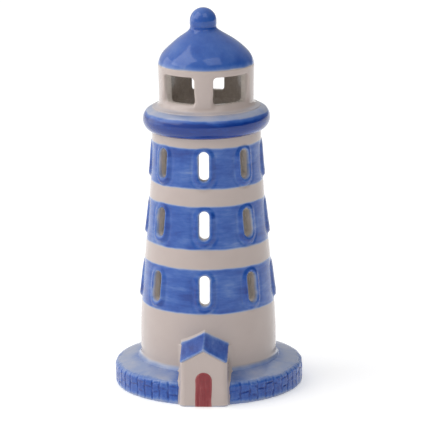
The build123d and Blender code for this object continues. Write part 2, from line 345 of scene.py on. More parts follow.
def plinth_field(x, y, z):
    """Plinth and foot ring, with brick relief outside and a hollow underneath."""
    r = np.hypot(x, y)
    wave = unevenness(x, y, z, 0.12, 8)
    on_rim = ramp(RIM_RADIUS - 2.2, RIM_RADIUS - 0.8, r)
    on_rim = on_rim * ramp(RIM_HEIGHT + 0.9, RIM_HEIGHT - 0.6, z)
    side = r - RIM_RADIUS - wave + on_rim * brick_relief(x, y, z)
    top = z - plinth_top(r) - 0.5 * wave
    clay = soft_max(side, top, 2.4)
    clay = soft_max(clay, -z, 1.3)
    hollow_radius = PLINTH_RADIUS - FOOT_RING_WIDTH
    inward = np.clip((hollow_radius - r) / (hollow_radius - FLOOR_RADIUS), 0, 1)
    under_top = FOOT_RING_TOP + (FLOOR_UNDERSIDE - FOOT_RING_TOP) * inward
    hollow = np.maximum(r - hollow_radius, z - under_top)
    clay = soft_max(clay, -hollow, 1.5)
    return np.maximum(clay, FLOOR_RADIUS - r)


def deck_above(x, y, z):
    """Height above the gallery's deck, which falls outwards and leans a little."""
    fall = DECK_FALL * np.clip(np.hypot(x, y) - LANTERN_FOOT_RADIUS, 0, None)
    return z - DECK + fall - GALLERY_TILT * x


def lantern_side(r, z):
    """The lantern room's outside without its slow waves; it widens a little towards the eave."""
    share = (z - DECK) / (EAVE - DECK)
    return r - LANTERN_FOOT_RADIUS - (EAVE_RADIUS - LANTERN_FOOT_RADIUS) * share


def lantern_field(x, y, z):
    """Lantern room: a round wall with soft-edged windows and a soft foot on the gallery."""
    r = np.hypot(x, y)
    side = lantern_side(r, z) - unevenness(x, y, z, 0.12, LANTERN_SEED)
    inside = -(side + LANTERN_WALL)
    across = np.full(np.shape(x), FAR)
    for azimuth, half_arc in LANTERN_WINDOWS:
        turn = np.arctan2(x, -y) - radians(azimuth)
        off_middle = np.abs(np.arctan2(np.sin(turn), np.cos(turn)))
        across = np.minimum(across, (off_middle - radians(half_arc)) * r)
    middle = (LANTERN_SILL + LANTERN_LINTEL) / 2
    upright = np.abs(z - middle) - (LANTERN_LINTEL - LANTERN_SILL) / 2
    window = box_distance(across, upright, 2.0)
    clay = soft_max(side, inside, 0.5)
    outward = ramp(-3.2, -1.0, side)
    clay = soft_max(clay, -window, 0.45 + outward * (0.7 + 1.9 * ramp(middle, LANTERN_SILL, z)))
    deck = deck_above(x, y, z)
    clay = soft_min(clay, deck + TUCK, LANTERN_FILLET)
    clay = np.maximum(clay, -deck - BURIED)
    clay = soft_max(clay, inside, 0.8)
    clay = np.maximum(clay, r - LANTERN_FOOT_RADIUS - 3.5)
    return np.maximum(clay, z - EAVE - TUCK)


def roof_lean(z):
    """How far the roof's middle is off the axis at a height, for it leans towards its knob."""
    return 0.6 * FINIAL_X * ramp(*ROOF_LEAN, z)


def roof_height(r):
    """Height of the roof's outside at a radius."""
    return np.interp(-r, -ROOF_LINE[:, 0], ROOF_LINE[:, 1])


def finial_field(x, y, z):
    """Ball on a short collar that flows into the roof."""
    r = np.hypot(x - FINIAL_X, y)
    middle = FINIAL_TOP - FINIAL_RADIUS
    knob = np.hypot(r, np.clip(z - middle, 0, None)) - FINIAL_RADIUS
    knob = knob - unevenness(x, y, z, 0.08, 12)
    knob = knob + 0.14 * np.exp(-(((z - COLLAR_TOP) / 0.6) ** 2))
    around = np.hypot(x - roof_lean(z), y)
    cone = (z - roof_height(around)) * cos(atan(ROOF_SLOPE))
    knob = soft_min(knob, cone + TUCK, 0.8 + 1.6 * ramp(NECK_TOP, NECK_TOP - 2.4, z))
    knob = np.maximum(knob, -cone - BURIED)
    return np.maximum(knob, around - NECK_REACH)


def porch_planes(x, y, lowering):
    """Height of the porch roof's outside, lowered by a distance."""
    climb = PORCH_ROOF_RISE * (y - PORCH_FRONT)
    return PORCH_EAVES + PORCH_GABLE * (1 - np.abs(x) / PORCH_HALF) + climb - lowering


def porch_body(x, y, z, lowering, proud, corner):
    """The sides and the slopes of a gabled block that stands proud of the porch's walls."""
    sides = box_distance(np.abs(x) - PORCH_HALF - proud, PORCH_FRONT - proud - y, corner)
    tilt = cos(atan(PORCH_GABLE / PORCH_HALF))
    return sides, (z - porch_planes(x, y, lowering)) * tilt


def merged_with_tower(clay, x, y, z, width):
    """Runs a piece softly into the tower's side and ends it just inside."""
    side = tower_side(x, y, z)
    clay = soft_min(clay, side + TUCK, width)
    return np.maximum(clay, -side - BURIED)


def porch_field(x, y, z):
    """Porch walls, splayed a little at the foot, run into the tower and the plinth."""
    splay = 0.5 * ramp(14, 0, z)
    sides, under_roof = porch_body(x, y, z, PORCH_ROOF_THICKNESS * 0.6, 0, 2.8)
    clay = soft_max(sides - splay, under_roof, 0.8) - unevenness(x, y, z, 0.1, 21)
    clay = soft_max(clay, -z, 1.2)
    clay = soft_max(clay, y - PORCH_BACK, 0.8)
    clay = merged_with_tower(clay, x, y, z, PORCH_FILLET)
    r = np.hypot(x, y)
    base = soft_max(z - plinth_top(r), r - RIM_RADIUS + 0.5, 2.0)
    clay = soft_min(clay, base + TUCK, 2.2)
    clay = np.maximum(clay, -base - BURIED)
    clay = np.maximum(clay, np.abs(x) - PORCH_HALF - 4)
    clay = np.maximum(clay, z - porch_planes(x, y, 0.6))
    return np.maximum(np.maximum(clay, -z), y - PORCH_BACK)


def porch_roof_field(x, y, z):
    """Two slopes of even thickness, a little proud of the walls, with soft edges."""
    sides, top = porch_body(x, y, z, -0.1, 0.05, 2.2)
    _, bottom = porch_body(x, y, z, PORCH_ROOF_THICKNESS, 0, 1)
    slab = soft_max(sides, top - unevenness(x, y, z, 0.12, 31), 1.0)
    slab = soft_max(slab, -bottom, 0.9)
    slab = merged_with_tower(slab, x, y, z, 2.2)
    above = z - porch_planes(x, y, PORCH_ROOF_THICKNESS + 1.2)
    slab = np.maximum(slab, -above)
    slab = np.maximum(slab, np.abs(x) - PORCH_HALF - 0.3)
    slab = np.maximum(slab, z - porch_planes(x, y, -1.3))
    return np.maximum(slab, y - PORCH_BACK)


def door_field(x, y, z):
    """A thin painted door leaf with a soft edge."""
    lean = 0.25 * np.sin(z * 0.3 + 0.5) * ramp(DOOR_TOP - DOOR_HALF, 4, z)
    arch = np.hypot(x + lean, np.clip(z - DOOR_TOP + DOOR_HALF, 0, None)) - DOOR_HALF
    leaf = soft_max(arch, PORCH_FRONT - 0.22 - 0.5 * ramp(14, 0, z) - y, 0.7)
    leaf = soft_max(leaf, 0.15 - z, 0.5)
    return np.maximum(leaf, y - PORCH_FRONT - 0.6)


# ------------------------ meshing

def edge_crossings(values):
    """For each cell of a grid, the mean place where the field crosses zero, and whether it does."""
    cells = tuple(n - 1 for n in values.shape)
    total = np.zeros(cells + (3,))
    count = np.zeros(cells)
    for axis in range(3):
        for near in itertools.product((0, 1), repeat=2):
            start = list(near)
            start.insert(axis, 0)
            end = list(start)
            end[axis] = 1
            low, high = (
                values[tuple(slice(c, c + n) for c, n in zip(corner, cells))]
                for corner in (start, end)
            )
            crossed = (low < 0) != (high < 0)
            share = np.where(crossed, low / np.where(crossed, low - high, 1), 0)
            for i in range(3):
                total[..., i] += crossed * (share if i == axis else start[i])
            count += crossed
    used = count > 0
    places = np.argwhere(used) + total[used] / count[used][:, None]
    number = np.full(cells, -1)
    number[used] = np.arange(len(places))
    return places, number


def surface_net(values, closed_round):
    """Points in grid steps and quads round the zero level. The first axis may close on itself."""
    if closed_round:
        values = np.concatenate([values, values[:1]])
    places, number = edge_crossings(values)
    inside = values < 0
    quads = []
    for a in range(3):
        low, high = (np.take(inside, range(i, inside.shape[a] - 1 + i), axis=a) for i in (0, 1))
        where = np.argwhere(low != high)
        for side in ((a + 1) % 3, (a + 2) % 3):
            if closed_round and side == 0:
                where = where[where[:, 0] < number.shape[0]]
            else:
                where = where[(where[:, side] > 0) & (where[:, side] < number.shape[side])]
        around = []
        for back in ((0, 0), (1, 0), (1, 1), (0, 1)):
            cell = where.copy()
            cell[:, (a + 1) % 3] -= back[0]
            cell[:, (a + 2) % 3] -= back[1]
            cell[:, 0] %= number.shape[0]
            around.append(number[tuple(cell.T)])
        faces = np.stack(around, axis=1)
        outward = low[tuple(where.T)]
        quads.append(np.where(outward[:, None], faces, faces[:, ::-1]))
    return places, np.concatenate(quads)


def settled(points, field, step):
    """Points moved along the field's slope until they lie on its zero level."""
    for _ in range(SETTLING_ROUNDS):
        value = field(*points.T)
        slope = np.empty_like(points)
        for i in range(3):
            ahead = points.copy()
            behind = points.copy()
            ahead[:, i] += SLOPE_REACH
            behind[:, i] -= SLOPE_REACH
            slope[:, i] = (field(*ahead.T) - field(*behind.T)) / (2 * SLOPE_REACH)
        length = np.maximum((slope**2).sum(1), 0.05)
        move = (value / length)[:, None] * slope
        far = np.maximum(np.linalg.norm(move, axis=1) / (0.6 * step), 1)
        points = points - move / far[:, None]
    return points


def round_mesh(field, radii, heights, step):
    """Points and quads of a field on a grid that goes round the axis."""
    turns = int(2 * pi * radii[1] / step)
    azimuths = np.arange(turns) * 2 * pi / turns
    z = np.arange(heights[0], heights[1] + step, step)
    r = np.arange(radii[0], radii[1] + step, step * RADIAL_STEP)
    a, h, d = np.meshgrid(azimuths, z, r, indexing="ij")
    places, quads = surface_net(field(d * np.sin(a), -d * np.cos(a), h), True)
    angle = places[:, 0] * 2 * pi / turns
    height = heights[0] + places[:, 1] * step
    distance = radii[0] + places[:, 2] * step * RADIAL_STEP
    points = np.stack([distance * np.sin(angle), -distance * np.cos(angle), height], axis=1)
    return settled(points, field, step), quads


def square_mesh(field, low, high, step):
    """Points and quads of a field on a square grid."""
    axes = [np.arange(a, b + step, step) for a, b in zip(low, high)]
    places, quads = surface_net(field(*np.meshgrid(*axes, indexing="ij")), False)
    return settled(np.array(low) + places * step, field, step), quads


def lathed(outline, turns, closed=True):
    """Points and faces of an outline of (radius, height) turned round the axis.

    An open outline starts and ends on the axis.
    """
    points, rings = [], []
    for r, z in outline:
        if r < 1e-6:
            rings.append([len(points)] * turns)
            points.append((0, 0, z))
            continue
        rings.append(list(range(len(points), len(points) + turns)))
        for t in range(turns):
            points.append((r * sin(2 * pi * t / turns), -r * cos(2 * pi * t / turns), z))
    faces = []
    for below, above in zip(rings, rings[1:] + (rings[:1] if closed else [])):
        for t in range(turns):
            n = (t + 1) % turns
            face = list(dict.fromkeys((below[t], below[n], above[n], above[t])))
            if len(face) > 2:
                faces.append(face)
    return np.array(points, float), faces


def curve_through(points, parts):
    """A smooth line through points, each stretch divided into parts."""
    p = np.array(points, float)
    ends = np.vstack([2 * p[0] - p[1], p, 2 * p[-1] - p[-2]])
    line = []
    for i in range(1, len(ends) - 2):
        before, start, end, after = ends[i - 1 : i + 3]
        for t in np.arange(parts) / parts:
            line.append(
                start
                + 0.5 * t * (end - before)
                + t**2 * (before - 2.5 * start + 2 * end - 0.5 * after)
                + t**3 * (1.5 * (start - end) + 0.5 * (after - before))
            )
    return line + [p[-1]]


ROOF_LINE = np.array(curve_through(((25.0, 167.5),) + ROOF_OUTSIDE, 24))


def gallery_field(x, y, z):
    """Round-rimmed ring with a nearly flat deck and a tapered throat."""
    r = np.hypot(x, y) - unevenness(x, y, z, 0.14, 17)
    up = z - GALLERY_TILT * x - GALLERY_CORE[1]
    bulge = np.hypot(r - GALLERY_CORE[0], up) - GALLERY_THICKNESS
    deck = deck_above(x, y, z)
    core = np.maximum(np.maximum(r - GALLERY_CORE[0], TOWER_TOP - z), deck)
    ring = soft_max(np.minimum(bulge, core), deck, 1.6)
    rise = (z - TOWER_TOP) / (DECK - TOWER_TOP)
    throat = THROAT_RADII[0] + (THROAT_RADII[1] - THROAT_RADII[0]) * rise - r
    return np.maximum(soft_max(ring, throat, 0.8), TOWER_TOP - z)


def roof_mesh():
    """The roof turned round the axis, with the same slow waves as the lantern room under it."""
    outside = [p for p in ROOF_LINE if p[1] >= EAVE - 0.05]
    inside = curve_through(ROOF_INSIDE, 10)
    outline = outside + [(0.0, outside[-1][1])] + inside
    points, faces = lathed([(max(p[0], 0.0), p[1]) for p in outline], ROUND_TURNS)
    r = np.maximum(np.hypot(points[:, 0], points[:, 1]), 1e-6)
    wave = unevenness(*points.T, 0.12, LANTERN_SEED) * ramp(ROOF_TOP, EAVE, points[:, 2])
    points[:, :2] *= (1 + wave * ramp(3, 9, r) / r)[:, None]
    points[:, 0] += roof_lean(points[:, 2])
    return points, faces


def cup_mesh():
    """Pressed cup with a rolled lip, flutes in its side and a ring pressed into its bottom."""
    wall = CUP_RADIUS - 0.7
    dimple = CUP_FOOT + CUP_DIMPLE
    outline = curve_through(
        (
            (5, dimple), (9, dimple), (11, CUP_FOOT), (wall - 1.6, CUP_FOOT),
            (wall - 0.2, CUP_FOOT + 0.9), (wall, CUP_FOOT + 3), (wall, CUP_TOP - 2),
            (wall + 0.05, CUP_TOP - 0.9), (wall + 0.55, CUP_TOP - 0.55),
            (wall + 0.6, CUP_TOP - 0.12), (wall + 0.2, CUP_TOP), (wall - 0.3, CUP_TOP - 0.15),
            (wall - CUP_WALL, CUP_TOP - 1),
            (wall - CUP_WALL, CUP_FOOT + 3), (wall - 0.7, CUP_FOOT + 1.2),
            (wall - 1.8, CUP_FOOT + CUP_WALL), (11, CUP_FOOT + CUP_WALL),
            (9, dimple + CUP_WALL), (5, dimple + CUP_WALL),
        ),
        5,
    )
    outline = [(0.0, dimple)] + outline + [(0.0, dimple + CUP_WALL)]
    points, faces = lathed(outline, ROUND_TURNS, closed=False)
    azimuth, height = np.arctan2(points[:, 0], -points[:, 1]), points[:, 2]
    on_side = ramp(CUP_FOOT + 1.5, CUP_FOOT + 4, height) * ramp(CUP_TOP - 1.2, CUP_TOP - 3, height)
    points[:, :2] *= (1 + 0.006 * on_side * np.cos(azimuth * CUP_FLUTES))[:, None]
    return points, faces


def wax_mesh():
    """Wax that has climbed the cup a little and sunk round the wick."""
    wall = CUP_RADIUS - 1.35
    top = curve_through(
        (
            (wall, WAX_TOP - 0.1), (wall - 0.9, WAX_TOP - 0.55), (wall - 3, WAX_TOP - 0.8),
            (8, WAX_TOP - 1.0), (3.2, WAX_TOP - 1.25), (1.4, WAX_TOP - 0.8), (0.7, WAX_TOP - 0.5),
        ),
        6,
    )
    floor = CUP_FOOT + 0.9
    outline = [(0.0, floor), (wall - 1.4, floor), (wall - 0.3, floor + 1.2), (wall, floor + 3)]
    points, faces = lathed(outline + top + [(0.0, WAX_TOP - 0.5)], 160, closed=False)
    ripple = 0.07 * np.sin(points[:, 0] * 0.7 + 1) * np.sin(points[:, 1] * 0.55)
    points[:, 2] += ripple * ramp(WAX_TOP - 3, WAX_TOP - 1, points[:, 2])
    return points, faces


def wick_mesh():
    """Braided wick: three twisted strands with a slight lean and a rounded end."""
    bottom = CUP_FOOT + 1.2
    outline = [(0.0, bottom)] + [(0.9, z) for z in np.arange(bottom, WICK_TOP - 0.6, 0.3)]
    outline += [(0.8, WICK_TOP - 0.35), (0.5, WICK_TOP - 0.1), (0.0, WICK_TOP)]
    points, faces = lathed(outline, 30, closed=False)
    azimuth = np.arctan2(points[:, 0], -points[:, 1])
    swell = 1 + 0.13 * np.cos(3 * azimuth + points[:, 2] * 2.2) - 0.12
    points[:, :2] *= swell[:, None]
    points[:, 0] += 0.7 * ramp(WAX_TOP - 1, WICK_TOP + 1, points[:, 2])
    return points, faces


def sustainer_mesh():
    """Pressed plate with a crimped neck."""
    foot = CUP_FOOT + 0.8
    outline = curve_through(
        (
            (6.0, foot), (6.0, foot + 0.35), (3.0, foot + 0.5), (1.9, foot + 0.8),
            (1.55, foot + 1.8), (1.5, foot + 3.0), (1.2, foot + 3.0), (1.15, foot + 1.0),
            (2.4, foot + 0.1), (5.6, foot),
        ),
        4,
    )
    points, faces = lathed(outline, 96)
    azimuth = np.arctan2(points[:, 0], -points[:, 1])
    crimp = ramp(foot + 1.2, foot + 2.0, points[:, 2])
    points[:, :2] *= (1 + 0.1 * crimp * np.cos(azimuth * 6))[:, None]
    return points, faces


def floor_mesh():
    """Round floor of the candle chamber, run a little into the wall."""
    rim = FLOOR_RADIUS + 0.8
    outline = [(0.0, FLOOR_UNDERSIDE)] + [(r, FLOOR_UNDERSIDE) for r in np.linspace(2, rim, 12)]
    outline += [(rim, FLOOR_TOP - 0.12)]
    outline += [(r, FLOOR_TOP) for r in np.linspace(FLOOR_RADIUS - 0.6, 2, 20)]
    outline += [(0.0, FLOOR_TOP)]
    points, faces = lathed(outline, 144, closed=False)
    beside_cup = np.hypot(points[:, 0], points[:, 1]) > CUP_RADIUS + 1
    on_top = (points[:, 2] > FLOOR_TOP - 1) & beside_cup
    points[:, 2] += on_top * (unevenness(*points.T, 0.1, 52) - 0.15)
    return points, faces


# ------------------------ materials

def srgb(red, green, blue):
    """A colour given in 0 to 255 steps, as the shader takes it."""
    steps = [c / 255 for c in (red, green, blue)]
    linear = (s / 12.92 if s <= 0.04045 else ((s + 0.055) / 1.055) ** 2.4 for s in steps)
    return (*linear, 1.0)


def feed(tree, socket, value):
    """Links a socket to another, or sets its own number."""
    if isinstance(value, bpy.types.NodeSocket):
        tree.links.new(value, socket)
    else:
        socket.default_value = value


def fill(tree, node, **values):
    """Sets or links a node's inputs by name, with _ for a space."""
    for name, value in values.items():
        feed(tree, node.inputs[name.replace("_", " ")], value)


def calc(tree, operation, *values):
    """One step of arithmetic."""
    node = tree.nodes.new("ShaderNodeMath")
    node.operation = operation
    for socket, value in zip(node.inputs, values):
        feed(tree, socket, value)
    return node.outputs[0]


def mix(tree, factor, first, second, blend="MIX"):
    """A colour between two."""
    node = tree.nodes.new("ShaderNodeMix")
    node.data_type = "RGBA"
    node.blend_type = blend
    node.clamp_factor = True
    for name, value in (("Factor_Float", factor), ("A_Color", first), ("B_Color", second)):
        feed(tree, next(s for s in node.inputs if s.identifier == name), value)
    return next(s for s in node.outputs if s.identifier == "Result_Color")


def smooth(tree, low, high, value):
    """0 at low, 1 at high, with a smooth start and end."""
    node = tree.nodes.new("ShaderNodeMapRange")
    node.interpolation_type = "SMOOTHSTEP"
    for socket, number in zip(node.inputs, (value, low, high)):
        feed(tree, socket, number)
    return node.outputs[0]


def noise(tree, size, detail=3.0, roughness=0.55, distortion=0.0):
    """Noise from 0 to 1 in the object's own space.

    size is its grain in millimetres along x, y and z.
    """
    place = tree.nodes.new("ShaderNodeTexCoord")
    scale = tree.nodes.new("ShaderNodeMapping")
    scale.inputs["Scale"].default_value = [1 / (s * MM) for s in size]
    tree.links.new(place.outputs["Object"], scale.inputs["Vector"])
    node = tree.nodes.new("ShaderNodeTexNoise")
    tree.links.new(scale.outputs[0], node.inputs["Vector"])
    fill(tree, node, Scale=1, Detail=detail, Roughness=roughness, Distortion=distortion)
    return node.outputs["Fac"]


def stored(tree, name):
    """A number kept at each corner of the mesh."""
    node = tree.nodes.new("ShaderNodeAttribute")
    node.attribute_name = name
    return node.outputs["Fac"]


def swayed(tree, base, pattern, amount):
    """A value raised and lowered by a pattern that runs from 0 to 1."""
    return calc(tree, "MULTIPLY_ADD", calc(tree, "SUBTRACT", pattern, 0.5), amount, base)


def bumped(tree, shader, height, distance):
    """Feeds a height in 0 to 1 into the shader's normal; distance is its depth in millimetres."""
    node = tree.nodes.new("ShaderNodeBump")
    node.inputs["Distance"].default_value = distance * MM
    tree.links.new(height, node.inputs["Height"])
    tree.links.new(node.outputs[0], shader.inputs["Normal"])


def new_material(name):
    """An empty node material, with its tree and its shader."""
    material = bpy.data.materials.new(name)
    material.use_nodes = True
    return material, material.node_tree, material.node_tree.nodes["Principled BSDF"]


def colour_ramp(tree, value, stops):
    """A colour for each level of a value."""
    node = tree.nodes.new("ShaderNodeValToRGB")
    node.color_ramp.interpolation = "B_SPLINE" if len(stops) > 3 else "LINEAR"
    while len(node.color_ramp.elements) < len(stops):
        node.color_ramp.elements.new(0.5)
    for element, (position, colour) in zip(node.color_ramp.elements, stops):
        element.position = position
        element.color = colour
    tree.links.new(value, node.inputs[0])
    return node.outputs[0]


CREAM = srgb(188, 174, 168)
CREAM_THICK = srgb(181, 166, 160)
CREAM_THIN = srgb(203, 188, 179)
INSIDE_GLAZE = srgb(214, 206, 199)
INSIDE_SPOTS = srgb(182, 172, 162)
FOIL = (srgb(214, 215, 218), srgb(236, 237, 239))
WAX = (srgb(236, 232, 220), srgb(246, 243, 234))
COTTON = (srgb(205, 198, 176), srgb(244, 240, 226))
TIN = (srgb(176, 176, 174), srgb(206, 206, 204))
PAPER = ((0.90, 0.90, 0.90, 1), (0.92, 0.92, 0.92, 1))
BLUE_STOPS = (
    (0.00, srgb(193, 179, 173)),
    (0.22, srgb(152, 163, 186)),
    (0.50, srgb(66, 108, 180)),
    (0.78, srgb(12, 72, 160)),
    (1.00, srgb(2, 42, 122)),
)
RED_STOPS = (
    (0.00, srgb(193, 179, 173)),
    (0.25, srgb(176, 108, 106)),
    (0.60, srgb(134, 8, 26)),
    (1.00, srgb(112, 6, 22)),
)


def paint_depth(tree, hairs, ragged):
    """How far a place is inside the paint's edge, which wanders."""
    wavy = noise(tree, (12, 12, 12), 1)
    wander = calc(tree, "MULTIPLY", calc(tree, "SUBTRACT", wavy, 0.5), ragged * 1.4)
    wander = swayed(tree, wander, hairs, ragged * 0.35)
    return calc(tree, "ADD", stored(tree, "paint"), wander)


def glaze(name, brush, stops=BLUE_STOPS, strength=0.72, contrast=0.75, ragged=1.6, soft_edge=3.2,
          rough=0.12, pool=0.3):
    """Clear glaze over cream clay with brushed colour.

    The mesh says how far a place is inside the paint's edge (paint, mm), how much thin wash is
    on it (wash), how far it is inside a hollow (deep) and how it bends (curve, 1/mm, positive
    on a crest). brush is the grain of the brush strokes in millimetres along x, y and z.
    """
    material, tree, shader = new_material(name)
    strokes = noise(tree, brush, 4, 0.6, 0.35)
    hairs = noise(tree, tuple(b * 0.42 for b in brush), 3, 0.6)
    patches = noise(tree, (11, 11, 8), 3)
    crest = stored(tree, "curve")

    # Colour on the brush, less of it at the paint's edge; it pools in grooves and runs off crests
    depth = paint_depth(tree, hairs, ragged)
    load = swayed(tree, strength, strokes, contrast)
    load = swayed(tree, load, patches, contrast * 0.8)
    load = swayed(tree, load, hairs, contrast * 0.3)
    middle = smooth(tree, 0.0, soft_edge, depth)
    load = calc(tree, "MULTIPLY", load, calc(tree, "MULTIPLY_ADD", middle, 0.4, 0.6))
    load = calc(tree, "MULTIPLY_ADD", crest, -pool, load)
    load = calc(tree, "MAXIMUM", load, 0.3)
    painted = calc(tree, "MULTIPLY", smooth(tree, -0.7, 0.8, depth), load)

    thin = calc(tree, "MULTIPLY_ADD", patches, 1.3, 0.3)
    thin = calc(tree, "MULTIPLY", stored(tree, "wash"), thin)
    thin = calc(tree, "MULTIPLY", thin, calc(tree, "MULTIPLY_ADD", strokes, 0.6, 0.7))
    amount = calc(tree, "MINIMUM", calc(tree, "MAXIMUM", painted, thin), 1.0)

    # Cream glaze under it, greyer where it is thick and lighter on crests; spotted in hollows
    clay = mix(tree, patches, CREAM, CREAM_THICK)
    clay = mix(tree, smooth(tree, 0.1, 0.9, crest), clay, CREAM_THIN)
    colour = mix(tree, smooth(tree, 0.0, 0.14, amount), clay, colour_ramp(tree, amount, stops))
    spots = mix(tree, noise(tree, (2.4, 2.4, 3.5), 4), INSIDE_GLAZE, INSIDE_SPOTS)
    colour = mix(tree, stored(tree, "deep"), colour, spots)

    gloss = calc(tree, "MULTIPLY_ADD", noise(tree, (1.6, 1.6, 1.6), 3), 0.10, rough)
    gloss = calc(tree, "MULTIPLY_ADD", stored(tree, "deep"), 0.1, gloss)
    fill(tree, shader, Base_Color=colour, Roughness=gloss, IOR=1.46)
    fill(tree, shader, Coat_Weight=0.25, Coat_Roughness=0.07, Coat_IOR=1.5)
    pits = calc(tree, "MULTIPLY", noise(tree, (1.1, 1.1, 1.1), 3), 0.45)
    bumped(tree, shader, calc(tree, "MULTIPLY_ADD", strokes, 0.55, pits), 0.05)
    return material


def mottled(name, size, detail, colours, swing, rough):
    """A material whose colour and roughness follow one noise, with its tree, shader and noise."""
    material, tree, shader = new_material(name)
    pattern = noise(tree, size, detail)
    roughness = calc(tree, "MULTIPLY_ADD", pattern, swing, rough)
    fill(tree, shader, Base_Color=mix(tree, pattern, *colours), Roughness=roughness)
    return material, tree, shader, pattern


def foil():
    """Bright pressed aluminium with fine rolling lines and small dents."""
    material, tree, shader, lines = mottled("candle_cup", (0.4, 0.4, 14), 3, FOIL, 0.16, 0.2)
    fill(tree, shader, Metallic=1.0)
    dents = noise(tree, (3, 3, 3), 2)
    relief = calc(tree, "MULTIPLY_ADD", dents, 0.7, calc(tree, "MULTIPLY", lines, 0.2))
    bumped(tree, shader, relief, 0.12)
    return material


def paraffin():
    """Milky wax with a faint mottle and a few pits."""
    material, tree, shader, mottle = mottled("candle_wax", (2.2, 2.2, 2.2), 4, WAX, 0.2, 0.35)
    fill(tree, shader, Subsurface_Weight=0.35, Subsurface_Scale=0.5,
         Subsurface_Radius=(0.004, 0.0035, 0.003))
    bumped(tree, shader, mottle, 0.15)
    return material


def cotton():
    """Waxed cotton braid with fine fibres."""
    material, tree, shader, fibre = mottled("candle_wick", (0.12, 0.12, 0.9), 4, COTTON, 0.3, 0.5)
    bumped(tree, shader, fibre, 0.1)
    return material


def tinplate():
    """Tinned steel with a rolled grain."""
    material, tree, shader, grain = mottled("wick_plate", (0.2, 5, 5), 3, TIN, 0.2, 0.25)
    fill(tree, shader, Metallic=1.0)
    bumped(tree, shader, grain, 0.04)
    return material


# ------------------------ where the paint is

def coat(like, paint=NO_PAINT, wash=0.0, deep=0.0):
    """What add_piece keeps on the mesh for its glaze, with one number for each point."""
    numbers = {"paint": paint, "wash": wash, "deep": deep}
    return {key: np.broadcast_to(value, like.shape) for key, value in numbers.items()}


def tower_paint(x, y, z):
    """Three painted bands that follow the surrounds, and a blush of wash at the foot."""
    band = np.max([np.minimum(z - low, high - z) for low, high in BANDS], axis=0)
    oval = -0.3 - oval_distance(x, y, z)[0]
    side = tower_side(x, y, z)
    bare = np.minimum(side + 0.75, slot_distance(x, y, z) - 0.1)
    wash = WASH_AT_TOWER_FOOT * ramp(TOWER_FOOT + 2.6, TOWER_FOOT - 0.4, z)
    return coat(z, np.minimum(soft_max(band, oval, 1.6), bare), wash, ramp(-0.5, -1.6, side))


def plinth_paint(x, y, z):
    """Blue sides and a thin patchy wash on the top."""
    r = np.hypot(x, y)
    side = np.minimum(RIM_HEIGHT + 0.5 - z, z - 0.5)
    near = ramp(TOWER_FOOT_RADIUS + 7, TOWER_FOOT_RADIUS + 1, r)
    by_porch = ramp(26, 12, np.hypot(x, y + 44))
    wash = WASH_ON_PLINTH + 0.14 * near + 0.18 * by_porch
    hidden = np.where((r < PLINTH_RADIUS - 1.5) & (z < TOWER_FOOT - 4), 1.0, 0.0)
    paint = np.where(r > PLINTH_RADIUS - 1.8, side, NO_PAINT)
    return coat(z, np.where(z < 0.6, NO_PAINT, paint), wash * (1 - hidden), 0.35 * hidden)


def gallery_paint(x, y, z):
    """Blue outside, a streaky wash on the deck, bare in the throat."""
    r = np.hypot(x, y)
    outside = np.where(r > 26, GALLERY_PAINT_TOP - z, NO_PAINT)
    deep = ramp(23.2, 22.4, r) * ramp(DECK + 0.5, DECK - 0.5, z)
    return coat(z, outside, WASH_ON_DECK * ramp(25.0, 30.0, r), deep)


def lantern_paint(x, y, z):
    """Cream, with the deck's wash creeping up the foot."""
    side = lantern_side(np.hypot(x, y), z)
    wash = 0.1 * ramp(DECK + 1.0, DECK - 0.4, z) * ramp(-0.5, 0.5, side)
    return coat(z, wash=wash, deep=ramp(-0.9, -2.4, side))


def roof_paint(x, y, z):
    """Blue to just above the eave."""
    r = np.hypot(x, y)
    by_eave = (z < EAVE + 0.2) & (r < EAVE_RADIUS - 1)
    under = z < roof_height(r) - 2
    return coat(z, z - EAVE + 0.1, deep=np.where(by_eave | under, 1.0, 0.0))


def knob_paint(_x, _y, z):
    """Blue all over."""
    return coat(z, ALL_PAINT)


def porch_paint(_x, _y, z):
    """Cream with a trace of the plinth's wash at the foot."""
    return coat(z, wash=0.16 * ramp(1.5, 0.2, z))


def canopy_paint(x, y, z):
    """Blue slopes, thinner on the front edge and the ridge."""
    top = z - porch_planes(x, y, 0)
    front = ramp(PORCH_FRONT + 0.7, PORCH_FRONT - 0.1, y)
    paint = np.minimum(1.6 + np.abs(x) * 1.2, 3.4 + top * 1.2) * (1 - 0.75 * front) + 0.1
    return coat(z, np.minimum(paint, 1.3 * tower_side(x, y, z) - 0.9))


def door_paint(x, _y, z):
    """Red to just inside the leaf's edge."""
    return coat(z, np.minimum(DOOR_HALF - np.abs(x), DOOR_TOP - z) + 0.55)


def floor_paint(_x, _y, z):
    """Bare, as the chamber's inside is."""
    return coat(z, deep=0.6)


# ------------------------ pieces

def bend_of(points, edges, normals):
    """How the surface bends at each point, per millimetre, evened out over its neighbours.

    Positive on a crest, negative in a groove.
    """
    count = len(points)
    a, b = edges.T
    across = points[a] - points[b]
    turn = ((normals[a] - normals[b]) * across).sum(1) / np.maximum((across**2).sum(1), 1e-6)
    share = np.maximum(np.bincount(a, minlength=count) + np.bincount(b, minlength=count), 1)
    bend = (np.bincount(a, turn, count) + np.bincount(b, turn, count)) / share
    bend = np.clip(bend, -1.5, 1.5)
    for _ in range(EVENING_ROUNDS):
        beside = (np.bincount(a, bend[b], count) + np.bincount(b, bend[a], count)) / share
        bend = 0.4 * bend + 0.6 * beside
    return np.clip(bend, -1.0, 1.0)


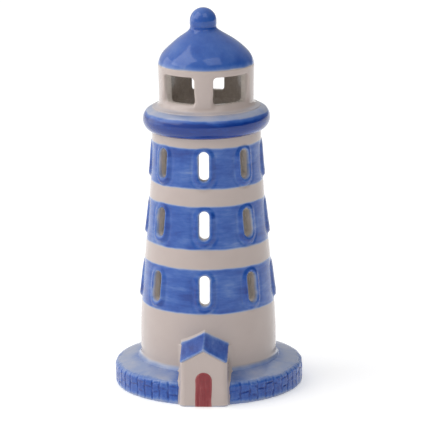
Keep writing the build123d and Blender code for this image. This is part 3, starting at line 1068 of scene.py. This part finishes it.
def add_piece(name, mesh_data, material, body, nodes, paint=None):
    """Makes an object from points in millimetres and faces, and hides the CAD nodes it stands in
    for.
    """
    points, faces = mesh_data
    mesh = bpy.data.meshes.new(name)
    mesh.from_pydata((np.asarray(points) * MM).tolist(), [], [list(map(int, f)) for f in faces])
    mesh.validate()
    mesh.update()
    mesh.polygons.foreach_set("use_smooth", [True] * len(mesh.polygons))
    if paint:
        edges = np.empty(len(mesh.edges) * 2, int)
        mesh.edges.foreach_get("vertices", edges)
        normals = np.empty(len(mesh.vertices) * 3)
        mesh.vertices.foreach_get("normal", normals)
        values = paint(*points.T)
        values["curve"] = bend_of(points, edges.reshape(-1, 2), normals.reshape(-1, 3))
        for key, numbers in values.items():
            layer = mesh.attributes.new(key, "FLOAT", "POINT")
            layer.data.foreach_set("value", numbers.astype(np.float32))
    mesh.materials.append(material)
    thing = bpy.data.objects.new(name, mesh)
    bpy.context.collection.objects.link(thing)
    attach(thing, body)
    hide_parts(*nodes)
    return thing


def only_between(field, inner, outer, tuck_inner, tuck_outer):
    """A ring cut from a field; where it meets the next ring its surface dips by a hair."""
    def ring(x, y, z):
        r = np.hypot(x, y)
        dip = ramp(tuck_inner + 0.8, tuck_inner, r) + ramp(tuck_outer - 0.8, tuck_outer, r)
        return np.maximum(np.maximum(field(x, y, z) + TUCK * dip, inner - r), r - outer)
    return ring


def build_ceramic():
    """Every piece of the fired body."""
    blue = glaze("blue_glaze", (14, 14, 2.5), strength=1.05, ragged=0.9)
    roof_blue = glaze("roof_blue_glaze", (9, 9, 12), strength=0.7, contrast=0.35, rough=0.06)
    banded = glaze("banded_glaze", (16, 16, 3.5), strength=1.08, contrast=1.0, ragged=0.9)
    brick_blue = glaze("brick_blue_glaze", (4, 4, 5), strength=0.8, contrast=0.4, rough=0.22,
                       pool=0.55)
    wash = glaze("blue_wash_glaze", (9, 9, 4), strength=0.62)
    white = glaze("white_glaze", (9, 9, 4))
    canopy_blue = glaze("canopy_blue_glaze", (3, 9, 3), strength=0.74, contrast=0.7, ragged=1.0)
    red = glaze("red_glaze", (0.8, 0.8, 12), RED_STOPS, strength=0.66, ragged=0.5, soft_edge=0.9)

    surrounds = [f"{tier}_surround_{n}" for tier in SLOT_TIERS for n in range(1, 6)]
    plinth = only_between(plinth_field, 0, SEAM_RADIUS + 1.0, -FAR, SEAM_RADIUS + 0.4)
    bricks = only_between(plinth_field, SEAM_RADIUS - 1.0, FAR, SEAM_RADIUS - 0.4, FAR)

    reach = PORCH_HALF + 5.5

    # Name, mesh, glaze, slot, CAD nodes, paint
    for name, mesh, material, slot, nodes, paint in (
        ("plinth_ring", round_mesh(plinth, (29.5, 49.2), (-1.2, 17), STEP),
         wash, "blue_wash_glaze", ("plinth", "foot_ring"), plinth_paint),
        ("brick_rim", round_mesh(bricks, (45.5, 51), (-1.2, 15), BRICK_STEP),
         brick_blue, "blue_glaze", ("rim_bricks",), plinth_paint),
        ("chamber_floor", floor_mesh(),
         white, "white_glaze", ("floor_plate",), floor_paint),
        ("tower", round_mesh(tower_field, (22, 41), (12.6, 138.5), STEP),
         banded, "white_glaze", ["tower_shell"] + surrounds, tower_paint),
        ("gallery", round_mesh(gallery_field, (17.5, 35), (134.5, 151.5), GALLERY_STEP),
         blue, "blue_glaze", ("gallery_ring",), gallery_paint),
        ("lantern", round_mesh(lantern_field, (17, 29), (146, 172.5), LANTERN_STEP),
         white, "white_glaze", ("lantern_room",), lantern_paint),
        ("roof", roof_mesh(),
         roof_blue, "blue_glaze", ("roof_dome",), roof_paint),
        ("knob", square_mesh(finial_field, (-13.5, -13.5, 183), (13.5, 13.5, 201.5), KNOB_STEP),
         roof_blue, "blue_glaze", ("finial",), knob_paint),
        ("porch", square_mesh(porch_field, (-reach, -54, -1), (reach, -28, 42), PORCH_STEP),
         white, "white_glaze", ("porch_walls",), porch_paint),
        ("porch_canopy",
         square_mesh(porch_roof_field, (-15.5, -54, 18), (15.5, -28, 42), CANOPY_STEP),
         canopy_blue, "blue_glaze", ("porch_roof",), canopy_paint),
        ("door", square_mesh(door_field, (-6, -53.5, -0.8), (6, -49.5, 20), DOOR_STEP),
         red, "red_glaze", ("door_panel",), door_paint),
    ):
        add_piece(name, mesh, material, "lighthouse", nodes, paint)


def build_tealight():
    """The candle, which comes out by the back."""
    for name, mesh, material, node in (
        ("candle_cup", cup_mesh(), foil(), "tealight_cup"),
        ("candle_wax", wax_mesh(), paraffin(), "tealight_wax"),
        ("candle_wick", wick_mesh(), cotton(), "tealight_wick"),
        ("wick_plate", sustainer_mesh(), tinplate(), "wick_sustainer"),
    ):
        add_piece(name, mesh, material, "tealight", (node,))


# ------------------------ studio

CAMERA_DISTANCE = 1.5
CAMERA_HEIGHT = 0.446
CAMERA_AZIMUTH = radians(3.2)
CAMERA_ROLL = radians(-0.557)
AIM = Vector((0.0019, 0.0, 0.0917))  # seen from the camera's azimuth
LENS = 250.2
SENSOR_WIDTH = 36
FLOOR_GLOW = 0.28
FLOOR_HALF = 6.0
SOFTBOXES = (
    # Name, place, what it faces, width and height, power
    ("window_left", (-1.14, -0.36, 1.27), (0, 0, 0.16), (1.3, 1.5), 9.5),
    ("window_right", (0.42, -0.80, 1.45), (0, 0, 0.16), (0.9, 1.0), 2.9),
    ("wall_left", (-1.6, 0.35, 0.45), (0, 0, 0.13), (1.4, 1.0), 4.0),
    ("behind", (0, 1.7, 1.5), (0, 0.8, 0), (3.0, 1.5), 4.5),
)
BRIGHT_SIDE = (-0.66, 0.15, 0.74)  # where the room's light comes from
ROOM_LIGHT = (-0.6, 1.0, 0.02, 1.0)  # from and to, along that direction, and the strengths there


def add_camera():
    """The photograph's viewpoint."""
    turn = Matrix.Rotation(CAMERA_AZIMUTH, 4, "Z")
    place = turn @ Vector((0, -CAMERA_DISTANCE, CAMERA_HEIGHT))
    camera = bpy.data.objects.new("camera", bpy.data.cameras.new("camera"))
    look = (turn @ AIM - place).to_track_quat("-Z", "Y").to_matrix().to_4x4()
    camera.matrix_world = Matrix.Translation(place) @ look @ Matrix.Rotation(CAMERA_ROLL, 4, "Z")
    camera.data.lens = LENS
    camera.data.sensor_width = SENSOR_WIDTH
    bpy.context.collection.objects.link(camera)
    bpy.context.scene.camera = camera


def add_softbox(name, place, aim, size, power):
    """A rectangular light of a width and height, facing a point."""
    lamp = bpy.data.lights.new(name, "AREA")
    lamp.shape = "RECTANGLE"
    lamp.size, lamp.size_y = size
    lamp.energy = power
    thing = bpy.data.objects.new(name, lamp)
    turn = (Vector(aim) - Vector(place)).to_track_quat("-Z", "Y")
    thing.matrix_world = Matrix.Translation(place) @ turn.to_matrix().to_4x4()
    bpy.context.collection.objects.link(thing)
    return thing


def add_floor():
    """A large pale sheet of matt paper, lit from underneath as well."""
    mesh = bpy.data.meshes.new("floor")
    corners = [(FLOOR_HALF * x, FLOOR_HALF * y, 0) for x, y in ((-1, -1), (1, -1), (1, 1), (-1, 1))]
    mesh.from_pydata(corners, [], [(0, 1, 2, 3)])
    material, tree, shader = new_material("paper")
    grain = noise(tree, (30, 30, 30), 2)
    fill(tree, shader, Base_Color=mix(tree, grain, *PAPER), Roughness=0.9,
         Specular_IOR_Level=0.1, Emission_Color=(1, 1, 1, 1), Emission_Strength=FLOOR_GLOW)
    mesh.materials.append(material)
    floor = bpy.data.objects.new("floor", mesh)
    bpy.context.collection.objects.link(floor)


def add_daylight():
    """An even white room, brighter on the left."""
    world = bpy.data.worlds.new("room")
    bpy.context.scene.world = world
    world.use_nodes = True
    tree = world.node_tree
    direction = tree.nodes.new("ShaderNodeTexCoord").outputs["Generated"]
    along = tree.nodes.new("ShaderNodeVectorMath")
    along.operation = "DOT_PRODUCT"
    tree.links.new(direction, along.inputs[0])
    along.inputs[1].default_value = BRIGHT_SIDE
    bright = tree.nodes.new("ShaderNodeMapRange")
    for socket, number in zip(bright.inputs, (along.outputs["Value"], *ROOM_LIGHT)):
        feed(tree, socket, number)
    background = tree.nodes["Background"]
    background.inputs["Color"].default_value = (1.0, 1.0, 1.0, 1)
    tree.links.new(bright.outputs[0], background.inputs["Strength"])


def add_studio():
    """Camera, floor and light; one softbox only shines in the glaze, and one never does."""
    add_camera()
    add_floor()
    add_daylight()
    lamps = {softbox[0]: add_softbox(*softbox) for softbox in SOFTBOXES}
    lamps["wall_left"].visible_diffuse = False
    lamps["behind"].visible_glossy = False
    bpy.context.scene.view_settings.view_transform = "Standard"


build_ceramic()
build_tealight()
add_studio()
